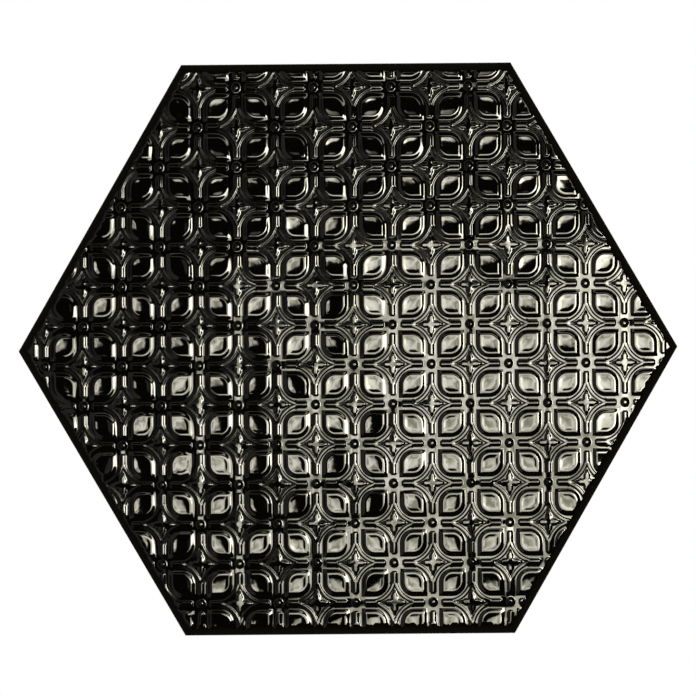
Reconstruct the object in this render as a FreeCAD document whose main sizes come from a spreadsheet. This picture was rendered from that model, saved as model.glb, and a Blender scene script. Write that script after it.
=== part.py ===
import FreeCAD, Part
import math
import os
import Sketcher
from FreeCAD import Placement, Rotation, Vector

# Hexagon floor tile, one pressed and fired piece. Millimetres. It lies face up on its back ribs,
# with the centre of its bedding plane at the origin and two of its corners on the X axis.
# A plain cushioned blank is pressed between two dies: the lower one sinks the cells of the back,
# and the upper one, the punch, leaves the pattern of petals, bosses and stars standing.

SIZES = {
    # the hexagon, its section and the cushioned rim round its face
    "side_length": 165.0,
    "tile_thickness": 9.0,
    "press_allowance": 0.3,
    "rim_width": 11.0,
    "rim_radius": 24.0,
    "arris": 0.8,
    "foot_chamfer": 0.6,
    # the pattern's grid, and where the boss nearest the tile's centre lies
    "relief_depth": 0.6,
    "pitch_x": 19.35,
    "pitch_y": 19.86,
    "first_boss_x": 3.0,
    "first_boss_y": -7.8,
    # one petal, boss and star, measured at their foot; the band runs between two petals' feet
    "band_width": 6.4,
    "petal_corner": 6.6,
    "petal_flank_angle": 70.0,
    "boss_radius": 2.8,
    "boss_rise": 0.58,
    "boss_flank_angle": 65.0,
    "star_reach": 7.6,
    "star_waist": 3.0,
    "star_rise": 0.5,
    # the honeycomb of shallow cells in the back
    "back_margin": 8.5,
    "back_rib": 3.5,
    "cell_depth": 0.8,
    "cell_draft": 30.0,
}
CELL_RINGS = 3
BOSS_SIDES = 8
ROUND_STEPS = 3

FLAT = "Sizes.side_length * sqrt(3) / 2"
BLANK_HEIGHT = "Sizes.tile_thickness + Sizes.press_allowance"
FLOOR = "Sizes.tile_thickness - Sizes.relief_depth"
PETAL_HALF_X = "(Sizes.pitch_x - Sizes.band_width) / 2"
PETAL_HALF_Y = "(Sizes.pitch_y - Sizes.band_width) / 2"

os.makedirs("parts", exist_ok=True)
doc = FreeCAD.newDocument("hexagon_floor_tile")

sheet = doc.addObject("Spreadsheet::Sheet", "Sizes")
for row, (alias, value) in enumerate(SIZES.items(), start=1):
    sheet.set(f"A{row}", alias)
    sheet.set(f"B{row}", str(value))
    sheet.setAlias(f"B{row}", alias)
doc.recompute()


def size(alias):
    return sheet.get(alias)


def worked_out(formula):
    """The value of a formula on the sheet, such as a sketch would be driven by."""
    return float(sheet.evalExpression(formula))


def origin_feature(body, role):
    return next(f for f in body.Origin.OriginFeatures if f.Role == role)


def polar(radius, degrees, centre=Vector()):
    angle = math.radians(degrees)
    return centre + Vector(radius * math.cos(angle), radius * math.sin(angle))


def moved(shape, place, turn=0):
    copy = shape.copy()
    copy.Placement = Placement(place, Rotation(Vector(0, 0, 1), turn)).multiply(shape.Placement)
    return copy


def new_sketch(body, name, role, height=None):
    sketch = body.newObject("Sketcher::SketchObject", name)
    sketch.AttachmentSupport = [(origin_feature(body, role), "")]
    sketch.MapMode = "FlatFace"
    if height:
        sketch.setExpression("AttachmentOffset.Base.z", height)
    return sketch


def constrain(sketch, kind, *refs, to=None):
    """Adds one constraint. A size comes from a formula on the sheet, or is a plain number."""
    if to is None:
        sketch.addConstraint(Sketcher.Constraint(kind, *refs))
        return
    index = sketch.addConstraint(Sketcher.Constraint(kind, *refs, worked_out(to)))
    sketch.setExpression(f"Constraints[{index}]", to)


def closed_outline(sketch, points):
    for i, point in enumerate(points):
        sketch.addGeometry(Part.LineSegment(point, points[(i + 1) % len(points)]), False)
    for i in range(len(points)):
        constrain(sketch, "Coincident", i, 2, (i + 1) % len(points), 1)


def regular_outline(sketch, sides, radius, first_corner_on):
    """A regular polygon about the origin, inscribed in a circle, with one corner on an axis."""
    across = worked_out(radius)
    turn = {"X": 0, "Y": 90}[first_corner_on]
    closed_outline(sketch, [polar(across, 360 / sides * i + turn) for i in range(sides)])
    circle = sketch.addGeometry(Part.Circle(Vector(), Vector(0, 0, 1), across), True)
    constrain(sketch, "Coincident", circle, 3, -1, 1)
    for i in range(sides):
        constrain(sketch, "PointOnObject", i, 1, circle)
    for i in range(1, sides):
        constrain(sketch, "Equal", 0, i)
    constrain(sketch, "PointOnObject", 0, 1, {"X": -1, "Y": -2}[first_corner_on])
    constrain(sketch, "Radius", circle, to=radius)


def drafted_pad(body, name, sketch, height, angle):
    """A pad whose flanks lean inwards as they rise."""
    pad = body.newObject("PartDesign::Pad", name)
    pad.Profile = sketch
    pad.setExpression("Length", height)
    pad.setExpression("TaperAngle", f"-{angle}")
    doc.recompute()
    return pad


def flat_faces(shape):
    """The faces of a form as true planes, since a draft or a loft leaves its flanks as splines."""
    outlines = [[vertex.Point for vertex in face.OuterWire.OrderedVertexes] for face in shape.Faces]
    return [Part.Face(Part.makePolygon([*points, points[0]])) for points in outlines]


def sewn_solid(faces):
    shell = Part.makeShell(faces)
    shell.sewShape()
    solid = Part.Solid(Part.Shell(shell.Faces))
    return solid if solid.Volume > 0 else solid.reversed()


def make_blank():
    """The tile as a plain cushioned hexagon, a little higher than the pattern's tops."""
    body = doc.addObject("PartDesign::Body", "Blank")
    outline = new_sketch(body, "Outline", "XY_Plane")
    regular_outline(outline, 6, "Sizes.side_length", "X")
    slab = body.newObject("PartDesign::Pad", "Slab")
    slab.Profile = outline
    slab.setExpression("Length", BLANK_HEIGHT)
    doc.recompute()

    edges = enumerate(slab.Shape.Edges, start=1)
    foot = body.newObject("PartDesign::Chamfer", "Foot")
    foot.Base = (slab, [f"Edge{i}" for i, edge in edges if edge.BoundBox.ZMax < 1e-6])
    foot.setExpression("Size", "Sizes.foot_chamfer")

    sides = body.newObject("PartDesign::PolarPattern", "RimSides")
    sides.Originals = [make_rim_cut(body)]
    sides.Axis = (origin_feature(body, "Z_Axis"), [""])
    sides.Angle = 360
    sides.Occurrences = 6
    body.Tip = sides
    doc.recompute()
    return body


def make_rim_cut(body):
    """The pocket along one side that leaves the rim's long curve and its rounded arris."""
    flat, top = worked_out(FLAT), worked_out(BLANK_HEIGHT)
    width, curve, arris = size("rim_width"), size("rim_radius"), size("arris")
    inner, clear = flat - width, 3.0
    drop = math.sqrt((curve - arris) ** 2 - (width - arris) ** 2)
    arris_z = top - curve + drop
    join = math.atan2(drop, width - arris)
    up = Vector(0, 0, 1)

    sketch = new_sketch(body, "RimSection", "YZ_Plane")
    circle = Part.Circle(Vector(inner, top - curve), up, curve)
    sketch.addGeometry(Part.ArcOfCircle(circle, join, math.pi / 2), False)
    circle = Part.Circle(Vector(flat - arris, arris_z), up, arris)
    sketch.addGeometry(Part.ArcOfCircle(circle, 0, join), False)
    points = (
        Vector(flat, arris_z),
        Vector(flat, top / 2),
        Vector(flat + clear, top / 2),
        Vector(flat + clear, top + clear),
        Vector(inner, top + clear),
        Vector(inner, top),
    )
    for start, end in zip(points, points[1:]):
        sketch.addGeometry(Part.LineSegment(start, end), False)

    constrain(sketch, "Tangent", 0, 1, 1, 2)
    constrain(sketch, "Tangent", 1, 1, 2, 1)
    for line in range(2, 6):
        constrain(sketch, "Coincident", line, 2, line + 1, 1)
    constrain(sketch, "Coincident", 6, 2, 0, 2)
    for line in (2, 4, 6):
        constrain(sketch, "Vertical", line)
    for line in (3, 5):
        constrain(sketch, "Horizontal", line)
    constrain(sketch, "PointOnObject", 0, 3, 6)
    constrain(sketch, "Radius", 0, to="Sizes.rim_radius")
    constrain(sketch, "Radius", 1, to="Sizes.arris")
    constrain(sketch, "DistanceX", -1, 1, 2, 2, to=FLAT)
    constrain(sketch, "DistanceY", -1, 1, 2, 2, to=f"({BLANK_HEIGHT}) / 2")
    constrain(sketch, "DistanceX", 3, 1, 3, 2, to=str(clear))
    constrain(sketch, "DistanceX", 0, 2, 2, 2, to="Sizes.rim_width")
    constrain(sketch, "DistanceY", -1, 1, 0, 2, to=BLANK_HEIGHT)
    constrain(sketch, "DistanceY", 0, 2, 6, 1, to=str(clear))

    rim = body.newObject("PartDesign::Pocket", "RimCut")
    rim.Profile = sketch
    rim.SideType = "Symmetric"
    rim.setExpression("Length", "Sizes.side_length * 2")
    doc.recompute()
    return rim


def make_back_die():
    """The lower die's raised cells, a honeycomb that fills the back up to its margin."""
    rows = CELL_RINGS * math.sqrt(3) / 2
    rib = size("back_rib")
    pitch = (worked_out(FLAT) - size("back_margin") + rib / math.sqrt(3)) / (rows + 1 / math.sqrt(3))

    body = doc.addObject("PartDesign::Body", "BackCell")
    outline = new_sketch(body, "CellOutline", "XY_Plane")
    regular_outline(outline, 6, f"({pitch} - Sizes.back_rib) / sqrt(3)", "Y")
    drafted_pad(body, "CellPad", outline, "Sizes.cell_depth", "Sizes.cell_draft")

    cell = sewn_solid(flat_faces(body.Shape))
    steps = range(-CELL_RINGS, CELL_RINGS + 1)
    places = [
        Vector(pitch * (i + j / 2), pitch * j * math.sqrt(3) / 2)
        for i in steps
        for j in steps
        if abs(i + j) <= CELL_RINGS
    ]
    die = doc.addObject("Part::Feature", "BackDie")
    die.Shape = Part.makeCompound([moved(cell, place) for place in places])
    return die


def make_petal():
    """One petal: a low pad with points towards its two bosses and round sides towards its stars."""
    half_outline = [(f"-({PETAL_HALF_X})", f"-({PETAL_HALF_Y})")]
    for step in range(ROUND_STEPS + 1):
        round_point = polar(1, 90 * step / ROUND_STEPS - 90)
        inset_x, inset_y = round(1 - round_point.x, 6), round(1 + round_point.y, 6)
        x = f"{PETAL_HALF_X} - Sizes.petal_corner * {inset_x}"
        y = f"Sizes.petal_corner * {inset_y} - {PETAL_HALF_Y}"
        half_outline.append((x, y))
    outline = [*half_outline, *[(f"-({x})", f"-({y})") for x, y in half_outline]]

    body = doc.addObject("PartDesign::Body", "Petal")
    sketch = new_sketch(body, "PetalOutline", "XY_Plane", FLOOR)
    closed_outline(sketch, [Vector(worked_out(x), worked_out(y)) for x, y in outline])
    for line, (x, y) in enumerate(outline):
        constrain(sketch, "DistanceX", -1, 1, line, 1, to=x)
        constrain(sketch, "DistanceY", -1, 1, line, 1, to=y)
    drafted_pad(body, "PetalPad", sketch, "Sizes.relief_depth", "Sizes.petal_flank_angle")
    return body


def make_boss():
    """One boss: a low round pad with a row of flats round its flank."""
    body = doc.addObject("PartDesign::Body", "Boss")
    sketch = new_sketch(body, "BossOutline", "XY_Plane", FLOOR)
    regular_outline(sketch, BOSS_SIDES, "Sizes.boss_radius", "X")
    drafted_pad(body, "BossPad", sketch, "Sizes.boss_rise", "Sizes.boss_flank_angle")
    return body


def make_star():
    """One four-pointed star: a low pyramid with a crest along each point."""
    foot = Vector(0, 0, worked_out(FLOOR))
    points = [polar(size("star_waist" if i % 2 else "star_reach"), 45 * i, foot) for i in range(8)]
    peak = Part.Vertex(foot + Vector(0, 0, size("star_rise")))
    star = doc.addObject("Part::Feature", "Star")
    star.Shape = Part.makeLoft([Part.makePolygon([*points, points[0]]), peak], True, True)
    return star


def meets_tile(place, reach):
    """Whether a form of this reach, centred here, meets the hexagon."""
    flat = worked_out(FLAT)
    return all(place.dot(polar(1, 60 * i + 30)) < flat + reach for i in range(6))


class Grid:
    """The pattern's nodes. Bosses and stars take turns on them, and a petal lies between four."""

    def __init__(self):
        self.pitch = Vector(size("pitch_x"), size("pitch_y"))
        self.first = Vector(size("first_boss_x"), size("first_boss_y"))
        self.floor = worked_out(FLOOR)
        count = math.ceil(size("side_length") / min(self.pitch.x, self.pitch.y)) + 1
        self.steps = range(-count, count)

    def node(self, i, j):
        return self.first + Vector(i * self.pitch.x, j * self.pitch.y)

    def middle(self, i, j):
        return self.node(i + 0.5, j + 0.5)

    def has_form(self, i, j):
        return meets_tile(self.node(i, j), size("star_reach"))

    def corner(self, i, j, turn):
        """The floor's outline where a cell goes round the form on one of its corners."""
        place = self.node(i, j)
        if not self.has_form(i, j):
            return [place]
        if (i + j) % 2 == 0:
            turns = [turn - 360 / BOSS_SIDES * side for side in range(BOSS_SIDES // 4 + 1)]
            return [polar(size("boss_radius"), degrees, place) for degrees in turns]
        waist = polar(size("star_waist"), turn - 45, place)
        return [polar(size("star_reach"), turn, place), waist, polar(size("star_reach"), turn - 90, place)]

    def floor_face(self, i, j, petal_foot):
        """The floor of one cell, between the forms on its corners and round its petal."""
        corners = ((i, j, 90), (i + 1, j, 180), (i + 1, j + 1, 270), (i, j + 1, 360))
        points = [point for corner in corners for point in self.corner(*corner)]
        points = [Vector(point.x, point.y, self.floor) for point in points]
        outline = Part.makePolygon([*points, points[0]])
        return Part.Face([outline, petal_foot] if petal_foot else outline)

    def walls(self, height):
        """The four sides and the back of a plate whose face is the whole floor."""
        low, high = self.steps[0], self.steps[-1] + 1
        run = range(low, high + 1)
        sides = (
            [self.node(i, low) for i in run],
            [self.node(high, j) for j in run],
            [self.node(i, high) for i in reversed(run)],
            [self.node(low, j) for j in reversed(run)],
        )
        base, top = Vector(0, 0, self.floor), Vector(0, 0, self.floor + height)
        faces = []
        for side in sides:
            foot = [point + base for point in side]
            wall = [*foot, side[-1] + top, side[0] + top, foot[0]]
            faces.append(Part.Face(Part.makePolygon(wall)))
        back = [side[0] + top for side in sides]
        return [*faces, Part.Face(Part.makePolygon([*back, back[0]]))]


def foot_and_flanks(shape):
    """A form's outline on the floor, and the faces that stand above it."""
    foot, *flanks = sorted(flat_faces(shape), key=lambda face: face.BoundBox.ZMax)
    return foot.OuterWire, flanks


def make_punch():
    """The upper die: a plate with the pattern sunk in its face."""
    grid = Grid()
    petal, boss, star = make_petal(), make_boss(), make_star()
    mirrored_petal = petal.Shape.mirror(Vector(), Vector(1, 0, 0))
    faces = grid.walls(size("relief_depth") + 2 * size("press_allowance"))
    for i in grid.steps:
        for j in grid.steps:
            even = (i + j) % 2 == 0
            if grid.has_form(i, j):
                form = boss if even else star
                faces += foot_and_flanks(moved(form.Shape, grid.node(i, j)))[1]
            petal_foot = None
            if meets_tile(grid.middle(i, j), size("pitch_y") / 2):
                shape = petal.Shape if even else mirrored_petal
                petal_foot, flanks = foot_and_flanks(moved(shape, grid.middle(i, j)))
                faces += flanks
            faces.append(grid.floor_face(i, j, petal_foot))
    punch = doc.addObject("Part::Feature", "Punch")
    punch.Shape = sewn_solid(faces)
    return punch


def press(name, blank, die):
    pressed = doc.addObject("Part::Cut", name)
    pressed.Base, pressed.Tool = blank, die
    pressed.Refine = False
    doc.recompute()
    return pressed


backed = press("BackedBlank", make_blank(), make_back_die())
tile = press("hexagon_tile", backed, make_punch())

for obj in doc.Objects:
    if "Invalid" in obj.State or "Error" in obj.State:
        raise RuntimeError(f"{obj.Name} did not recompute: {obj.State}")
if not tile.Shape.isValid() or len(tile.Shape.Solids) != 1:
    raise RuntimeError("the tile isn't one valid solid")

tile.Shape.Solids[0].exportStep("parts/hexagon_tile.step")
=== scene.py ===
"""Hexagon floor tile in gloss black glaze, with a moulded lattice of petals, bosses and stars."""

import math

import bmesh
import bpy
import numpy as np
from mathutils import Matrix, Vector, noise
from mathutils.geometry import delaunay_2d_cdt


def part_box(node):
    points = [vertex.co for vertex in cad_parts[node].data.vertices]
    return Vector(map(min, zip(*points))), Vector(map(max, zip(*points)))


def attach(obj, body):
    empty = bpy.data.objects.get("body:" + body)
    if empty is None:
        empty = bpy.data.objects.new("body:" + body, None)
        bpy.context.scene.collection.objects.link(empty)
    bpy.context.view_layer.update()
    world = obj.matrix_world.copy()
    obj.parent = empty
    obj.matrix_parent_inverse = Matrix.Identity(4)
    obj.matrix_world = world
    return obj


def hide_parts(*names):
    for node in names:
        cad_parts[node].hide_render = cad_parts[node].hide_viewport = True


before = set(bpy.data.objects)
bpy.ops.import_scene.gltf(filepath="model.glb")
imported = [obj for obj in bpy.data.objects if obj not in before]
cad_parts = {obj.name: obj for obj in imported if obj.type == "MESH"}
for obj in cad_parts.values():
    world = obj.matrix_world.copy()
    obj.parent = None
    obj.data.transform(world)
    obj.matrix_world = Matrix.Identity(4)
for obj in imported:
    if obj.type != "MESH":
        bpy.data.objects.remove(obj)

bl_info = {
    "name": "Hexagon floor tile",
    "version": (1, 0, 0),
    "blender": (4, 5, 0),
    "location": "View3D > Sidebar > Tile",
    "description": "Models a relief-moulded, black glazed hexagon tile and its studio",
    "category": "Object",
}

# Lengths are in millimetres up to the meshes, which are in metres. FLAT and CORNER are half the tile's
# size across its flats and across its corners.
MM = 0.001
CAD_LOW, CAD_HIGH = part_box("hexagon_tile")
FLAT = CAD_HIGH.y / MM
CORNER = CAD_HIGH.x / MM
THICKNESS = (CAD_HIGH.z - CAD_LOW.z) / MM


def length(name, description, default):
    return bpy.props.FloatProperty(
        name=name, description=description, default=default, unit="LENGTH", precision=5
    )


def tilt(name, description, degrees):
    return bpy.props.FloatProperty(
        name=name, description=description, default=math.radians(degrees), unit="ROTATION", precision=3
    )


def colour(name, description, default):
    return bpy.props.FloatVectorProperty(
        name=name, description=description, default=default, subtype="COLOR", min=0, max=1
    )


class TileSizes(bpy.types.PropertyGroup):
    """The sizes of the tile's section and pattern."""

    relief: length("Relief depth", "From the pattern's floor to its highest tops", 0.66 * MM)
    pitch_x: length("Pitch across", "From boss to star along X", 19.35 * MM)
    pitch_y: length("Pitch along", "From boss to star along Y", 19.86 * MM)
    boss_x: length("First boss X", "Where the boss nearest the centre lies", 3.0 * MM)
    boss_y: length("First boss Y", "Where the boss nearest the centre lies", -7.8 * MM)
    rim_width: length("Rim width", "How far in the cushion's curve starts", 11.0 * MM)
    rim_radius: length("Rim radius", "Radius of the cushion's curve", 24.0 * MM)
    rim_top: length("Rim top", "How far above the pattern the cushion's curve starts", 0.42 * MM)
    arris: length("Arris", "Radius that rounds the rim into the side", 0.8 * MM)
    foot: length("Foot", "Chamfer between the side and the bed", 0.6 * MM)
    glaze_end: length("Glaze end", "How far above the bed the glaze ends on the sides", 2.2 * MM)
    swell: length("Swell", "Height of the slow unevenness of the fired face", 0.3 * MM)
    ramp: length("Ramp", "Typical step from one column or row of the pattern to the next", 0.15 * MM)
    petal_tilt: tilt("Petal tilt", "Typical lean of one petal, on the right half", 0.95)
    left_tilt: tilt("Left tilt", "How far the petals on the left half lean to the right", 1.6)
    back_margin: length("Back margin", "From the side to the ribbed back", 8.5 * MM)
    back_rib: length("Back rib", "Width of the back's ribs", 3.5 * MM)
    cell_depth: length("Cell depth", "How deep the back's cells are", 0.8 * MM)


class TileColours(bpy.types.PropertyGroup):
    """The colours of the tile and its studio."""

    glaze: colour("Glaze", "Black gloss glaze", (0.003, 0.0027, 0.002))
    body: colour("Body", "Unglazed fired body", (0.42, 0.38, 0.33))
    softbox: colour("Softbox", "Cream light of the large softbox", (1.0, 0.965, 0.85))
    softbox_dim: colour("Softbox, dim", "Its dimmer, olive parts", (0.9, 0.88, 0.64))
    panel: colour("Side panel", "Dim grey that the slopes to the left mirror", (0.98, 0.96, 0.9))
    room: colour("Room", "Dark room that the rim mirrors", (1.0, 0.9, 0.6))
    horizon: colour("Horizon", "Pale light low around the room, which low views mirror", (0.96, 0.95, 0.92))
    floor: colour("Floor", "Plain pale floor", (0.8, 0.8, 0.8))


# The relief is worked out in one folded triangle, a quarter of a petal's cell: the petal's middle at the
# origin, a boss at (HALF, HALF) and a star at (HALF, -HALF). Every length below is read in that frame,
# and the heights are those of a relief DRAWN_DEPTH deep.
HALF = 9.8
DRAWN_DEPTH = 0.6
PETAL_CREST = 4.7
PETAL_ROUND = 4.8
ROUND_AT = PETAL_ROUND - PETAL_CREST
RIDGE_AT, RIDGE_RADIUS = 3.0, 12.73
STAR_AT, STAR_RADIUS = 0.58, 9.38
SMALL = 1e-4


def smooth(low, high, value):
    t = np.clip((value - low) / (high - low), 0, 1)
    return t * t * (3 - 2 * t)


def petal_offset(x, y):
    """How far outside a petal's crest a point lies."""
    return np.where(y >= ROUND_AT, x - PETAL_CREST, np.hypot(x + ROUND_AT, y - ROUND_AT) - PETAL_ROUND)


def petal_height(x, y):
    """A shallow dish with a low lip, above a short flank."""
    middle, dish, lip = 0.24, 0.045, 0.02
    dish_width, lip_rise, flank = 4.0, (-1.9, -0.6), (-0.05, 2.25)
    offset = petal_offset(x, y)
    bowl = dish * np.clip((offset + PETAL_CREST) / dish_width, 0, 1) ** 2
    return (middle + bowl + lip * smooth(*lip_rise, offset)) * (1 - smooth(*flank, offset))


def boss_height(x, y):
    top, flank = 0.50, (0.4, 2.7)
    return top * (1 - smooth(*flank, np.hypot(HALF - x, HALF - y)))


def bar_height(x, y):
    """The thin bar that runs from near a boss to the ridge round a star."""
    top, flank, boss_end, star_end = 0.3, (0.25, 1.95), (4.7, 5.9), (-1.5, 0)
    ends = (1 - smooth(*boss_end, y)) * smooth(*star_end, y)
    return top * (1 - smooth(*flank, HALF - x)) * ends


def ridge_height(x, y):
    """The thin ridge round a star, which parts from the bar's end, and the ground inside it."""
    top, drop = 0.24, 0.7
    outer, inner, fade = (-1.35, -0.3), (0.3, 1.3), (1.5, 4.5)
    offset = np.hypot(x + RIDGE_AT, y - RIDGE_AT) - RIDGE_RADIUS
    rise = smooth(*outer, offset) * (1 - smooth(*fade, y))
    return top * rise * (1 - drop * smooth(*inner, offset))


def star_height(x, y):
    """The star's body, the fold along each arm, its round middle and the raised ground around it."""
    body_top, fold_top, middle_top, ground_top = 0.20, 0.21, 0.22, 0.07
    thin, thick, thicker, thin_at, arm = 0.9, 2.4, 0.4, 4.3, (3.3, 5.0)
    body_flank, fold_flank, middle_flank = (0.4, 2.4), (0.25, 1), (0.9, 2.2)
    ground_rise, fade = (-0.6, 0), (-0.4, 0.8)
    offset = np.hypot(x - STAR_AT, y + STAR_AT) - STAR_RADIUS
    body = body_top * smooth(*body_flank, offset)
    reach = np.clip(thin + thicker * (-y - thin_at), thin, thick)
    crest = fold_top * (1 - smooth(*fold_flank, (HALF - x) / reach)) * smooth(*arm, -y)
    middle = middle_top * (1 - smooth(*middle_flank, np.hypot(HALF - x, HALF + y)))
    ground = ground_top * smooth(*ground_rise, offset)
    return (ground + np.maximum.reduce([body, crest, middle])) * (1 - smooth(*fade, y))


def relief_height(x, y):
    parts = (petal_height, boss_height, bar_height, ridge_height, star_height)
    return np.maximum.reduce([part(x, y) for part in parts])


def arc_points(centre, radius, start, end, steps):
    """Points along a circle, its angles in degrees, ends included."""
    angles = np.radians(np.linspace(start, end, steps + 1))
    return [(centre[0] + radius * math.cos(a), centre[1] + radius * math.sin(a)) for a in angles]


def line_points(start, end, steps):
    return [tuple(np.array(start) + (np.array(end) - start) * t) for t in np.linspace(0, 1, steps + 1)]


def petal_curve(offset, straight, bend):
    """A line that runs parallel to a petal's crest, from its point to the middle of its round side."""
    reach = PETAL_CREST + offset
    start = [] if reach <= ROUND_AT else line_points((reach, reach), (reach, ROUND_AT), straight)
    return start[:-1] + arc_points((-ROUND_AT, ROUND_AT), PETAL_ROUND + offset, 0, -45, bend)


def from_bar(centre, radius, x, steps):
    """A circle's stretch from where it crosses a line beside the bar's axis to the petal's side."""
    start = math.degrees(math.asin(-math.sqrt(radius**2 - (x - centre[0]) ** 2) / radius))
    return arc_points(centre, radius, start, -45, steps)


def feature_lines():
    """The lines that the mesh follows inside the folded triangle."""
    lines = [petal_curve(-2.6, 1, 2)]
    lines += [petal_curve(offset, 2, 4) for offset in (-1.6, -0.9, -0.4)]
    lines += [petal_curve(offset, 3, 4) for offset in (0.1, 0.6, 1.2, 1.85)]
    lines += [petal_curve(2.35, 3, 5)]
    ridge, star = (-RIDGE_AT, RIDGE_AT), (STAR_AT, -STAR_AT)
    lines += [
        from_bar(ridge, RIDGE_RADIUS - 1.35, 7.95, 4),
        from_bar(ridge, RIDGE_RADIUS - 0.85, 8.65, 5),
        from_bar(ridge, RIDGE_RADIUS - 0.3, 9.4, 6),
        from_bar(ridge, RIDGE_RADIUS + 0.3, HALF, 6),
        from_bar(ridge, RIDGE_RADIUS + 0.8, HALF, 5),
        from_bar(ridge, RIDGE_RADIUS + 1.3, HALF, 4),
        from_bar(star, STAR_RADIUS + 0.45, HALF, 3),
        from_bar(star, STAR_RADIUS + 1.4, HALF, 3),
        from_bar(star, STAR_RADIUS + 2.4, HALF, 2),
    ]
    lines += [line_points((HALF - side, 4.7), (HALF - side, 0.6), 2) for side in (0.35, 1.1, 1.9)]
    lines += [line_points((HALF - side, 5.3), (HALF - side, 5.9), 1) for side in (0.0, 1.1)]
    lines += [line_points((HALF, 4.7), (HALF, 0.0), 2), line_points((HALF, -0.7), (HALF, -1.5), 1)]
    lines += [line_points((HALF - 0.35, -4.6), (HALF - 0.35, -HALF + 1.2), 3)]
    lines += [line_points((HALF - 1.0, -6.2), (HALF - 1.0, -HALF + 1.7), 2)]
    boss = (HALF, HALF)
    lines += [arc_points(boss, radius, 225, 270, 2) for radius in (0.4, 1.1, 1.9, 2.7)]
    return lines


def folded_mesh():
    """The folded triangle's points and triangles, with an edge along each feature line."""
    points, edges = [(0, 0), (HALF, HALF), (HALF, -HALF)], [(0, 1), (1, 2), (2, 0)]
    for line in feature_lines():
        line = [p for p in line if p[0] >= abs(p[1]) - SMALL and p[0] <= HALF + SMALL]
        first = len(points)
        points += line
        edges += [(first + i, first + i + 1) for i in range(len(line) - 1)]
    merge = 0.02
    made = delaunay_2d_cdt([Vector(p) for p in points], edges, [], 0, merge)
    return np.array([tuple(p) for p in made[0]]), np.array(made[2])


def unfold(points, i, j):
    """The four folded triangles of the cell that starts at node (i, j), and which are mirrored."""
    x, y = points[:, 0], points[:, 1]
    quarters = [(x, y, False), (y, x, True), (-x, -y, False), (-y, -x, True)]
    if (i + j) % 2:
        quarters = [(-x, y, not mirrored) for x, y, mirrored in quarters]
    return quarters


def apothem(x, y):
    """How far a point lies from the middle, measured square to the nearest side."""
    across = [abs(x * math.cos(a) + y * math.sin(a)) for a in np.radians((30, 90, 150))]
    return np.maximum.reduce(across)


# The fired face's unevenness: the seeds of its steps and of its petals' lean, its largest height, the
# share of that by which the whole pattern is lowered to stay inside the solid, half the width of a
# step, and how many cells are drawn each way from the first boss. The pattern stops RIM_PLAIN short
# of the side.
STEP_SEED, LEAN_SEED = 399, 5047
UNEVEN_MOST = 0.3
LOWERED = 0.6
RAMP_WIDTH = 2.1
CELLS = 16
RIM_PLAIN = 3.2


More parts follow.
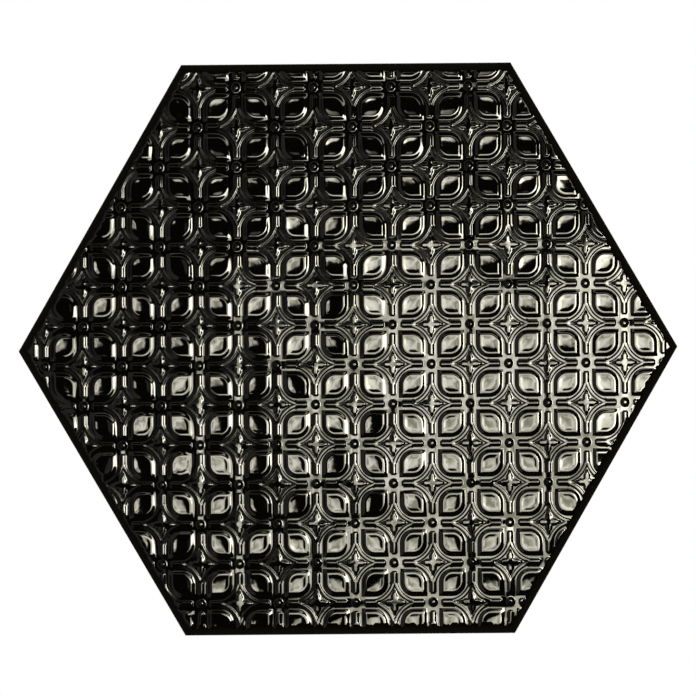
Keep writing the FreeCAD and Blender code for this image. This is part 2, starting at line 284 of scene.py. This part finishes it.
class Face:
    """The tile's top surface as a height over X and Y, in millimetres."""

    def __init__(self, sizes):
        self.pitch = np.array((sizes.pitch_x, sizes.pitch_y)) / MM
        self.first = np.array((sizes.boss_x, sizes.boss_y)) / MM
        self.depth = sizes.relief / MM
        self.floor = THICKNESS - self.depth - LOWERED * UNEVEN_MOST
        self.curve_top = THICKNESS + sizes.rim_top / MM
        self.inner = FLAT - sizes.rim_width / MM
        self.radius = sizes.rim_radius / MM
        self.swell = sizes.swell / MM
        rng = np.random.default_rng(STEP_SEED)
        count = 2 * CELLS
        columns, rows = rng.normal(size=(count, 1)), rng.normal(size=(1, count))
        self.level = sizes.ramp / MM * (columns + 0.2 * rows + 0.3 * rng.normal(size=(count, count)))
        leftness = smooth(3, -3, np.arange(-CELLS, CELLS)[:, None])
        self.lean = sizes.petal_tilt * np.random.default_rng(LEAN_SEED).normal(size=(2, count, count))
        self.lean *= 1 + 0.5 * leftness
        self.lean[0] -= sizes.left_tilt * leftness
        self.lean[1] *= 0.6

    def cushion(self, reach):
        """The rim's curve, over the distance square to the nearest side."""
        past = np.clip(reach - self.inner, 0, None)
        return self.curve_top - self.radius + np.sqrt(self.radius**2 - past**2)

    def fold(self, x, y):
        """Where a point falls in the folded triangle."""
        cell = (np.stack((x, y), 1) - self.first) / self.pitch
        index = np.floor(cell)
        local = (cell - index - 0.5) * 2 * HALF
        odd = (index.sum(1) % 2).astype(bool)
        u, v = np.where(odd, -local[:, 0], local[:, 0]), local[:, 1]
        swap = np.abs(v) > np.abs(u)
        u, v = np.where(swap, v, u), np.where(swap, u, v)
        flip = u < 0
        return np.where(flip, -u, u), np.where(flip, -v, v)

    def wave(self, x, y, pad):
        """The unevenness of the face: broad swells, uneven levels, and petals that each lean a little.

        The pad is 1 on a petal and 0 beyond its flank.
        """
        swell_width, slice_z = 45, 3.1
        broad = [noise.noise(Vector((a / swell_width, b / swell_width, slice_z))) for a, b in zip(x, y)]
        place = (np.stack((x, y), 1) - self.first) / self.pitch
        line = np.round(place).astype(int)
        ramp = smooth(-RAMP_WIDTH, RAMP_WIDTH, (place - line) * self.pitch)
        total = self.swell * np.array(broad)
        for i in (0, 1):
            for j in (0, 1):
                cell = line + (i - 1, j - 1)
                share = np.abs(1 - i - ramp[:, 0]) * np.abs(1 - j - ramp[:, 1])
                total += share * self.level[tuple(cell.T + CELLS)]
        cell = np.floor(place).astype(int)
        away = (place - cell - 0.5) * self.pitch
        total += pad * (self.lean[:, *(cell.T + CELLS)] * away.T).sum(0)
        fade = 1 - smooth(self.inner, FLAT - RIM_PLAIN, apothem(x, y))
        return UNEVEN_MOST * np.tanh(total / UNEVEN_MOST) * fade

    def height(self, x, y):
        """The uneven relief, cut off softly where it would stand above the cushion."""
        foot, soft = 2.2, 0.04
        folded = self.fold(x, y)
        pad = 1 - smooth(0, foot, petal_offset(*folded))
        relief = self.depth / DRAWN_DEPTH * relief_height(*folded) + self.floor + self.wave(x, y, pad)
        gap = relief - self.cushion(apothem(x, y))
        return np.minimum(relief - soft * np.logaddexp(0, gap / soft), THICKNESS)

    def normals(self, x, y):
        """The surface's own normals, from how the height changes over a short step."""
        step = 0.02
        slope_x = (self.height(x + step, y) - self.height(x - step, y)) / (2 * step)
        slope_y = (self.height(x, y + step) - self.height(x, y - step)) / (2 * step)
        return np.stack((-slope_x, -slope_y, np.ones_like(x)), 1)


def make_lattice(face, limit):
    """The pattern's triangles over the whole hexagon, out to this apothem, at the face's height."""
    points, triangles = folded_mesh()
    count = math.ceil(CORNER / face.pitch.min()) + 1
    cell_reach, triangle_reach, cut_reach, same = face.pitch.max() * 0.75, 4, 6, 0.001
    places, faces, total = [], [], 0
    for i in range(-count, count):
        for j in range(-count, count):
            middle = face.first + (np.array((i, j)) + 0.5) * face.pitch
            if apothem(*middle[:, None])[0] > limit + cell_reach:
                continue
            for x, y, mirrored in unfold(points, i, j):
                places.append(middle + np.stack((x, y), 1) * face.pitch / (2 * HALF))
                faces.append((triangles[:, ::-1] if mirrored else triangles) + total)
                total += len(points)
    places, faces = np.concatenate(places), np.concatenate(faces)
    spots = np.round(places / same).astype(np.int64)
    _, first, shared = np.unique(spots, axis=0, return_index=True, return_inverse=True)
    places, faces = places[first], shared.reshape(-1)[faces]
    faces = faces[apothem(*places[faces].mean(1).T) < limit + triangle_reach]

    bm = bmesh.new()
    used = {index: bm.verts.new((*places[index] * MM, 0)) for index in np.unique(faces)}
    for triangle in faces:
        bm.faces.new([used[index] for index in triangle])
    for turn in np.radians(range(30, 390, 60)):
        side = Vector((math.cos(turn), math.sin(turn), 0))
        near = [f for f in bm.faces if f.calc_center_median().dot(side) > (limit - cut_reach) * MM]
        bounds = dict.fromkeys(part for f in near for part in (*f.edges, *f.verts))
        bmesh.ops.bisect_plane(
            bm,
            geom=[*near, *bounds],
            dist=SMALL * MM,
            plane_co=side * limit * MM,
            plane_no=side,
            clear_outer=True,
        )
    bmesh.ops.remove_doubles(bm, verts=bm.verts, dist=2 * same * MM)
    bmesh.ops.triangulate(bm, faces=[f for f in bm.faces if len(f.verts) > 3])
    flat = np.array([v.co[:2] for v in bm.verts]) / MM
    for vert, z in zip(bm.verts, face.height(flat[:, 0], flat[:, 1])):
        vert.co.z = z * MM
    return bm


def hexagon_ring(bm, reach, height, steps):
    """The edges of a closed ring on a hexagon of this apothem, each side in this many steps."""
    place = Matrix.Translation((0, 0, height * MM)) @ Matrix.Rotation(math.radians(-90), 4, "Z")
    radius = reach / math.cos(math.radians(30)) * MM
    corners = bmesh.ops.create_circle(bm, segments=6, radius=radius, matrix=place)["verts"]
    sides = list(dict.fromkeys(e for v in corners for e in v.link_edges))
    made = bmesh.ops.subdivide_edges(bm, edges=sides, cuts=steps - 1)["geom_split"]
    between = [part for part in made if isinstance(part, bmesh.types.BMVert)]
    return list(dict.fromkeys(e for v in between for e in v.link_edges))


def rim_section(face, limit, sizes):
    """The section from the pattern's end down to the bed: pairs of apothem and height."""
    arris, foot, gap = sizes.arris / MM, sizes.foot / MM, 0.4
    drop = math.sqrt((face.radius - arris) ** 2 - (FLAT - face.inner - arris) ** 2)
    arris_z = face.curve_top - face.radius + drop
    join = math.atan2(drop, FLAT - face.inner - arris)
    curve = np.linspace(limit + gap, face.inner + face.radius * math.cos(join), 5)
    section = [(reach, float(face.cushion(reach))) for reach in curve]
    for turn in np.linspace(join, 0, 5)[1:]:
        section.append((FLAT - arris + arris * math.cos(turn), arris_z + arris * math.sin(turn)))
    return section + [(FLAT, THICKNESS / 2), (FLAT, sizes.glaze_end / MM), (FLAT, foot), (FLAT - foot, 0.0)]


def make_rim(bm, section):
    """The rim and the sides, bridged from ring to ring down their section; gives back the bed's edge."""
    rings = [hexagon_ring(bm, reach, z, steps=36) for reach, z in section]
    for above, below in zip(rings, rings[1:]):
        bmesh.ops.bridge_loops(bm, edges=above + below)
    return rings[-1]


def make_back(bm, border, sizes):
    """The underside within its border: shallow six-sided cells with drafted walls between ribs."""
    rings, draft = 3, math.radians(30)
    root = math.sqrt(3)
    rib, depth = sizes.back_rib, sizes.cell_depth
    across = FLAT * MM - sizes.back_margin + rib / root
    pitch = across / (rings * root / 2 + 1 / root)
    steps = range(-rings, rings + 1)
    edges = list(border)
    for i in steps:
        for j in steps:
            if abs(i + j) > rings:
                continue
            place = Matrix.Translation((pitch * (i + j / 2), pitch * j * root / 2, 0))
            mouth = bmesh.ops.create_circle(
                bm, cap_ends=True, segments=6, radius=(pitch - rib) / root, matrix=place
            )["verts"]
            roof = mouth[0].link_faces[:]
            bmesh.ops.inset_region(
                bm,
                faces=roof,
                thickness=depth * math.tan(draft),
                depth=depth,
                use_boundary=True,
                use_even_offset=True,
            )
            edges += dict.fromkeys(e for v in mouth for e in v.link_edges if e.is_boundary)
    bmesh.ops.triangle_fill(bm, use_beauty=True, edges=edges, normal=(0, 0, -1))


class OBJECT_OT_hexagon_tile(bpy.types.Operator):
    """Models the tile with its full relief, rim, sides and ribbed back"""

    bl_idname = "object.hexagon_tile"
    bl_label = "Tile"

    def execute(self, context):
        sizes = context.scene.tile_sizes
        face = Face(sizes)
        limit = FLAT - RIM_PLAIN
        mesh = bpy.data.meshes.new("hexagon_tile_glazed")
        pattern = make_lattice(face, limit)
        pattern.to_mesh(mesh)
        pattern.free()
        bm = bmesh.new()
        bed_edge = make_rim(bm, rim_section(face, limit, sizes))
        make_back(bm, bed_edge, sizes)
        bm.from_mesh(mesh)
        bmesh.ops.bridge_loops(bm, edges=[e for e in bm.edges if e.is_boundary])
        bmesh.ops.triangulate(bm, faces=[f for f in bm.faces if len(f.verts) > 4])
        bmesh.ops.recalc_face_normals(bm, faces=bm.faces)
        for f in bm.faces:
            f.smooth = True
            f.material_index = int(f.calc_center_median().z < sizes.glaze_end)
        bm.to_mesh(mesh)
        bm.free()
        tile = bpy.data.objects.new("hexagon_tile_glazed", mesh)
        context.scene.collection.objects.link(tile)
        mesh.materials.append(glaze_material(context.scene.tile_colours))
        mesh.materials.append(body_material(context.scene.tile_colours))
        self.set_normals(mesh, face, limit)
        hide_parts("hexagon_tile")
        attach(tile, "root")
        return {"FINISHED"}

    def set_normals(self, mesh, face, limit):
        """Gives the pattern the normals of its own formula, and leaves the rest to the mesh."""
        mesh.set_sharp_from_angle(angle=math.radians(40))
        place = np.array([v.co for v in mesh.vertices]) / MM
        patterned = (apothem(place[:, 0], place[:, 1]) < limit + SMALL) & (place[:, 2] > face.floor / 2)
        normals = np.zeros((len(place), 3))
        normals[patterned] = face.normals(*place[patterned, :2].T)
        mesh.normals_split_custom_set_from_vertices(normals.tolist())


def new_material(name):
    material = bpy.data.materials.new(name)
    material.use_nodes = True
    return material, material.node_tree.nodes["Principled BSDF"].inputs


def glaze_material(colours):
    material, inputs = new_material("gloss_black_glaze")
    inputs["Base Color"].default_value = (*colours.glaze, 1)
    inputs["Roughness"].default_value = 0.03
    inputs["IOR"].default_value = 1.55
    return material


def body_material(colours):
    material, inputs = new_material("fired_body")
    inputs["Base Color"].default_value = (*colours.body, 1)
    inputs["Roughness"].default_value = 0.85
    return material


class Shade:
    """A value in a shader, so that its formulas read as Python."""

    def __init__(self, tree, socket=None):
        self.tree, self.socket = tree, socket

    def node(self, kind, *inputs, output=0, **settings):
        """A new node, its settings first and then its inputs in order, where None leaves one alone."""
        made = self.tree.nodes.new(kind)
        for name, value in settings.items():
            setattr(made, name, value)
        for slot, value in zip(made.inputs, inputs):
            if isinstance(value, Shade):
                self.tree.links.new(value.socket, slot)
            elif value is not None:
                slot.default_value = value
        return Shade(self.tree, made.outputs[output])

    def math(self, operation, *others):
        return self.node("ShaderNodeMath", self, *others, operation=operation)

    def __add__(self, other):
        return self.math("ADD", other)

    def __mul__(self, other):
        return self.math("MULTIPLY", other)

    __radd__, __rmul__ = __add__, __mul__

    def smooth(self, low, high):
        return self.node("ShaderNodeMapRange", self, low, high, 0.0, 1.0, interpolation_type="SMOOTHSTEP")

    def blend(self, first, second):
        """The colour between these two that this share gives."""
        ends = ((*first, 1), (*second, 1))
        return self.node("ShaderNodeMix", self, *[None] * 5, *ends, output=2, data_type="RGBA")


def show(lit, seen, output):
    """Shows the camera one shader and every other ray the lit one."""
    path = lit.node("ShaderNodeLightPath", output="Is Camera Ray")
    mix = path.node("ShaderNodeMixShader", path, lit, seen)
    mix.tree.links.new(mix.socket, mix.tree.nodes[output].inputs["Surface"])


def make_card(name, place, size, turn, strength, tints):
    """A glowing panel that faces down, with crisp edges, clouds and a brighter right part."""
    bpy.ops.mesh.primitive_plane_add(size=1, location=place)
    card = bpy.context.object
    card.name = name
    card.data.transform(Matrix.Diagonal((*size, 1, 1)))
    card.rotation_euler.z = math.radians(turn)
    card.visible_camera = False
    edge_width, cloud_scale, brighter = 0.05, 7.0, (-0.18, 0.2)
    material = bpy.data.materials.new(name)
    material.use_nodes = True
    tree = material.node_tree
    tree.nodes.remove(tree.nodes["Principled BSDF"])
    where = Shade(tree).node("ShaderNodeTexCoord", output="Object")
    x, y = (where.node("ShaderNodeSeparateXYZ", where, output=axis) for axis in "XY")
    cloud = where.node("ShaderNodeTexNoise", where, None, cloud_scale, 1.0).smooth(0.32, 0.68)
    edge = x.math("ABSOLUTE").smooth(size[0] / 2, size[0] / 2 - edge_width)
    edge = edge * y.math("ABSOLUTE").smooth(size[1] / 2, size[1] / 2 - edge_width)
    glow = edge * (0.17 + 0.29 * cloud + 0.95 * x.smooth(*brighter)) * strength
    light = glow.node("ShaderNodeEmission", cloud.blend(*tints), glow)
    tree.links.new(light.socket, tree.nodes["Material Output"].inputs["Surface"])
    card.data.materials.append(material)


class SCENE_OT_tile_studio(bpy.types.Operator):
    """Sets the camera, the pale floor and the lights"""

    bl_idname = "scene.tile_studio"
    bl_label = "Studio"

    def execute(self, context):
        self.make_camera(context.scene)
        colours = context.scene.tile_colours
        cream, grey = (colours.softbox_dim, colours.softbox), (colours.panel, colours.panel)
        make_card("softbox", (0.39, -0.045, 2.6), (0.94, 0.42), turn=12, strength=28.0, tints=cream)
        make_card("top_strip", (0.15, 0.5, 2.6), (1.3, 0.24), turn=-4, strength=3.5, tints=cream)
        make_card("side_panel", (-1.0, 0, 2.2), (1.4, 2.4), turn=0, strength=0.24, tints=grey)
        self.make_floor(context)
        self.make_world(context.scene)
        context.scene.view_settings.view_transform = "Standard"
        return {"FINISHED"}

    def make_camera(self, scene):
        """Looks straight down, from where the tile fills the picture as it does the photo."""
        picture_pixels, tile_pixels = 696, 659.6
        height, along, turn = 2.4, 0.5 * MM, -0.45
        lens = bpy.data.cameras.new("camera")
        lens.sensor_width = 36
        view = picture_pixels / tile_pixels * CORNER * MM
        lens.lens = lens.sensor_width / 2 * (height - THICKNESS * MM) / view
        camera = bpy.data.objects.new("camera", lens)
        camera.location = (0, along, height)
        camera.rotation_euler.z = math.radians(turn)
        scene.collection.objects.link(camera)
        scene.camera = camera

    def make_floor(self, context):
        """A wide floor, a hair below the tile's bed so that the two faces don't flicker."""
        bpy.ops.mesh.primitive_plane_add(size=8, location=(0, 0, -0.02 * MM))
        floor = context.object
        floor.name = "floor"
        material, inputs = new_material("pale_floor")
        inputs["Base Color"].default_value = (*context.scene.tile_colours.floor, 1)
        tree = material.node_tree
        lit = Shade(tree, tree.nodes["Principled BSDF"].outputs["BSDF"])
        show(lit, lit.node("ShaderNodeEmission", (1, 1, 1, 1), 1.0), "Material Output")
        floor.data.materials.append(material)

    def make_world(self, scene):
        """A dark room, a little lighter towards its walls and pale near the floor, on plain white."""
        world = bpy.data.worlds.new("studio")
        world.use_nodes = True
        scene.world = world
        tree = world.node_tree
        tree.nodes.remove(tree.nodes["Background"])
        where = Shade(tree).node("ShaderNodeTexCoord", output="Generated")
        up = where.node("ShaderNodeSeparateXYZ", where, output="Z")
        low = up.smooth(0.4, 0.1)
        strength = 0.006 + 0.06 * up.smooth(0.96, 0.6) + 0.45 * low
        tint = low.blend(scene.tile_colours.room, scene.tile_colours.horizon)
        lit = tint.node("ShaderNodeBackground", tint, strength)
        show(lit, lit.node("ShaderNodeBackground", (1, 1, 1, 1), 1.0), "World Output")


class VIEW3D_PT_hexagon_tile(bpy.types.Panel):
    """Lists the tile's sizes and colours and its operators"""

    bl_idname = "VIEW3D_PT_hexagon_tile"
    bl_label = "Hexagon floor tile"
    bl_space_type = "VIEW_3D"
    bl_region_type = "UI"
    bl_category = "Tile"

    def draw(self, context):
        for group in (context.scene.tile_sizes, context.scene.tile_colours):
            for name in group.__annotations__:
                self.layout.prop(group, name)
        for operator in OPERATORS:
            self.layout.operator(operator.bl_idname)


OPERATORS = (OBJECT_OT_hexagon_tile, SCENE_OT_tile_studio)
CLASSES = (TileSizes, TileColours, *OPERATORS, VIEW3D_PT_hexagon_tile)


def register():
    for cls in CLASSES:
        bpy.utils.register_class(cls)
    bpy.types.Scene.tile_sizes = bpy.props.PointerProperty(type=TileSizes)
    bpy.types.Scene.tile_colours = bpy.props.PointerProperty(type=TileColours)


def unregister():
    del bpy.types.Scene.tile_colours
    del bpy.types.Scene.tile_sizes
    for cls in reversed(CLASSES):
        bpy.utils.unregister_class(cls)


def main():
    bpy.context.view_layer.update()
    register()
    bpy.ops.object.hexagon_tile()
    bpy.ops.scene.tile_studio()


if __name__ == "__main__":
    main()
